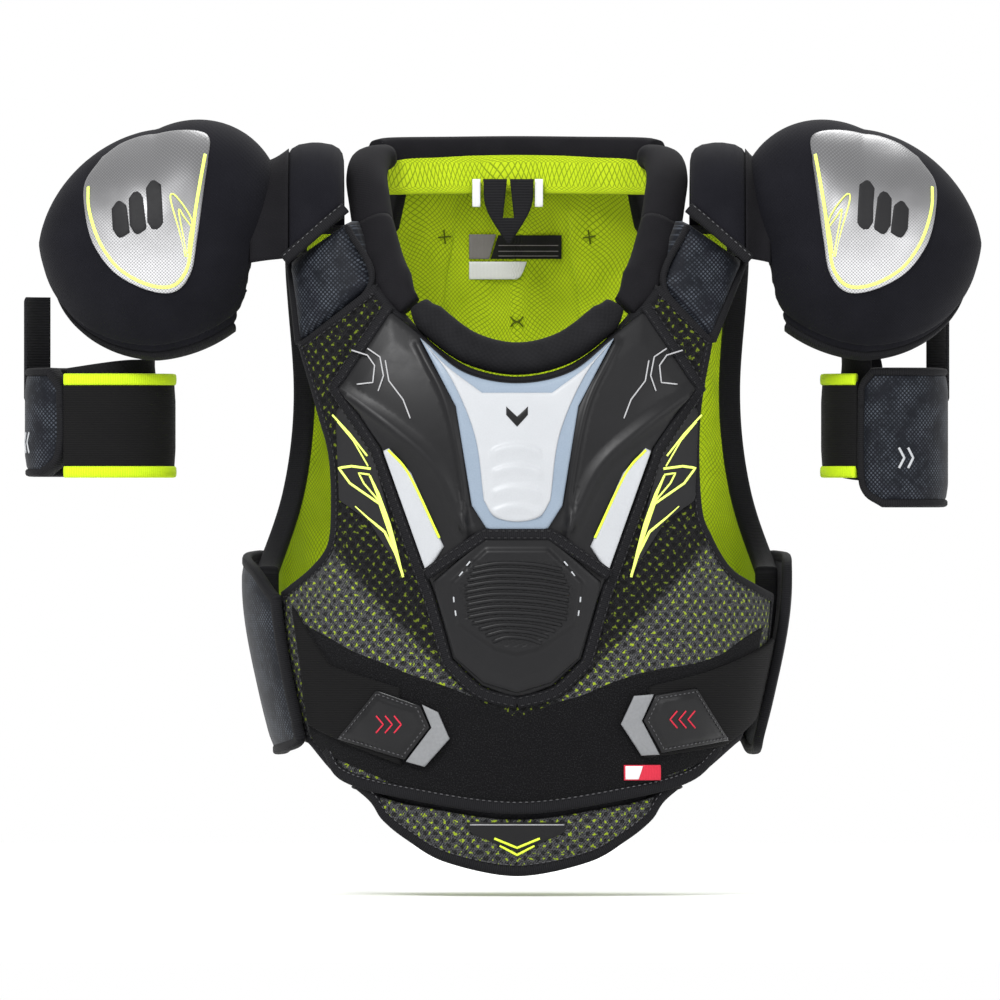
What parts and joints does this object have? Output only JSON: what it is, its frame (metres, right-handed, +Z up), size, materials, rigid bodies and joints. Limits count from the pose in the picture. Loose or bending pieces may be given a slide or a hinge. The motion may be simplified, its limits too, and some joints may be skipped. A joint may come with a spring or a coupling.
{
  "type": "hockey shoulder pads",
  "caption": "Padded ice hockey shoulder pads: vest with moulded chest plate, shoulder caps, biceps guards, side straps and a fold-up abdomen extension.",
  "frame": {"origin": "middle of the neck on the shoulder line, where the wearer's shoulders carry the pads", "axes": "+X towards the wearer's left, -Y towards the front, +Z up"},
  "size_m": [0.5651, 0.2343, 0.4411],
  "materials": {
    "foam": "matte",
    "black_mesh": "matte",
    "lime_lining": "matte",
    "black_tape": "matte",
    "black_moulding": "satin",
    "black_knit": "matte",
    "printed_label": "matte",
    "speckled_mesh": "matte",
    "silver_moulding": "satin",
    "loop_fabric": "matte",
    "red_tab": "satin",
    "dotted_fabric": "matte",
    "white_moulding": "satin",
    "black_elastic": "matte",
    "silver_badge": "satin"
  },
  "bodies": {
    "back": {"back_foam": "foam", "back_cover": "black_mesh", "back_liner": "lime_lining", "back_binding": "black_tape", "spine_plate": "black_moulding", "back_collar": "black_knit", "neck_label": "printed_label", "collar_upper_left": "black_knit", "shoulder_pad_left": "black_knit", "cap_link_left": "black_knit", "collar_upper_right": "black_knit", "shoulder_pad_right": "black_knit", "cap_link_right": "black_knit"},
    "front": {"chest_foam": "foam", "chest_cover": "speckled_mesh", "chest_liner": "lime_lining", "chest_plate": "black_moulding", "sternum_insert": "silver_moulding", "plexus_pad": "black_moulding", "loop_landing": "loop_fabric", "chest_binding": "black_tape", "neck_roll": "black_mesh", "size_tab": "red_tab", "collar_lower_left": "black_knit", "clavicle_panel_left": "dotted_fabric", "accent_panel_left": "black_mesh", "accent_chip_left": "white_moulding", "side_elastic_left": "black_elastic", "collar_lower_right": "black_knit", "clavicle_panel_right": "dotted_fabric", "accent_panel_right": "black_mesh", "accent_chip_right": "white_moulding", "side_elastic_right": "black_elastic"},
    "extension": {"extension_foam": "foam", "extension_cover": "speckled_mesh", "extension_label": "black_moulding"},
    "hang_loop": {"hang_loop": "black_tape"},
    "wing_left": {"wing_left": "dotted_fabric"},
    "side_strap_left": {"strap_band_left": "black_elastic", "hook_tab_left": "black_moulding", "tab_chevron_left": "silver_moulding"},
    "cap_left": {"cap_shell_left": "black_knit", "cap_foam_left": "foam", "cap_badge_left": "silver_badge"},
    "bicep_left": {"bicep_pad_left": "dotted_fabric", "bicep_hanger_left": "black_tape"},
    "bicep_strap_left": {"bicep_strap_left": "black_elastic"},
    "wing_right": {"wing_right": "dotted_fabric"},
    "side_strap_right": {"strap_band_right": "black_elastic", "hook_tab_right": "black_moulding", "tab_chevron_right": "silver_moulding"},
    "cap_right": {"cap_shell_right": "black_knit", "cap_foam_right": "foam", "cap_badge_right": "silver_badge"},
    "bicep_right": {"bicep_pad_right": "dotted_fabric", "bicep_hanger_right": "black_tape"},
    "bicep_strap_right": {"bicep_strap_right": "black_elastic"}
  },
  "joints": [
    {"name": "front_swing", "type": "hinge", "parent": "back", "child": "front", "pos_m": [0, -0.055, -0.025], "axis": [-1, 0, 0], "range_deg": [0, 20], "deforming": ["clavicle_panel_left", "clavicle_panel_right", "collar_lower_left", "collar_lower_right", "side_elastic_left", "side_elastic_right"]},
    {"name": "extension_fold", "type": "hinge", "parent": "front", "child": "extension", "pos_m": [0, -0.113, -0.354], "axis": [-1, 0, 0], "range_deg": [0, 75]},
    {"name": "hang_loop_flip", "type": "hinge", "parent": "back", "child": "hang_loop", "pos_m": [0, 0.0431, 0.012], "axis": [-1, 0, 0], "range_deg": [0, 150]},
    {"name": "wing_left_open", "type": "hinge", "parent": "back", "child": "wing_left", "pos_m": [0.1535, 0.0455, -0.265], "axis": [0, 0, 1], "range_deg": [0, 65]},
    {"name": "side_strap_left_peel", "type": "hinge", "parent": "front", "child": "side_strap_left", "pos_m": [0.1535, -0.02, -0.285], "axis": [0, 0, 1], "range_deg": [0, 95]},
    {"name": "cap_left_lift", "type": "hinge", "parent": "back", "child": "cap_left", "pos_m": [0.137, -0.005, 0.036], "axis": [0, -1, 0], "range_deg": [0, 60]},
    {"name": "bicep_left_swing", "type": "hinge", "parent": "cap_left", "child": "bicep_left", "pos_m": [0.217, 0.034, -0.052], "axis": [1, 0, 0], "range_deg": [-4, 25]},
    {"name": "bicep_strap_left_open", "type": "hinge", "parent": "bicep_left", "child": "bicep_strap_left", "pos_m": [0.19999, -0.02601, -0.132], "axis": [0, 0, 1], "range_deg": [0, 90]},
    {"name": "wing_right_open", "type": "hinge", "parent": "back", "child": "wing_right", "pos_m": [-0.1535, 0.0455, -0.265], "axis": [0, 0, -1], "range_deg": [0, 65]},
    {"name": "side_strap_right_peel", "type": "hinge", "parent": "front", "child": "side_strap_right", "pos_m": [-0.1375, -0.0618, -0.285], "axis": [0, 0, -1], "range_deg": [0, 95]},
    {"name": "cap_right_lift", "type": "hinge", "parent": "back", "child": "cap_right", "pos_m": [-0.146, -0.005, 0.036], "axis": [0, 1, 0], "range_deg": [0, 60]},
    {"name": "bicep_right_swing", "type": "hinge", "parent": "cap_right", "child": "bicep_right", "pos_m": [-0.246, 0.034, -0.052], "axis": [1, 0, 0], "range_deg": [-4, 25]},
    {"name": "bicep_strap_right_open", "type": "hinge", "parent": "bicep_right", "child": "bicep_strap_right", "pos_m": [-0.26857, -0.01952, -0.132], "axis": [0, 0, -1], "range_deg": [0, 90]}
  ]
}
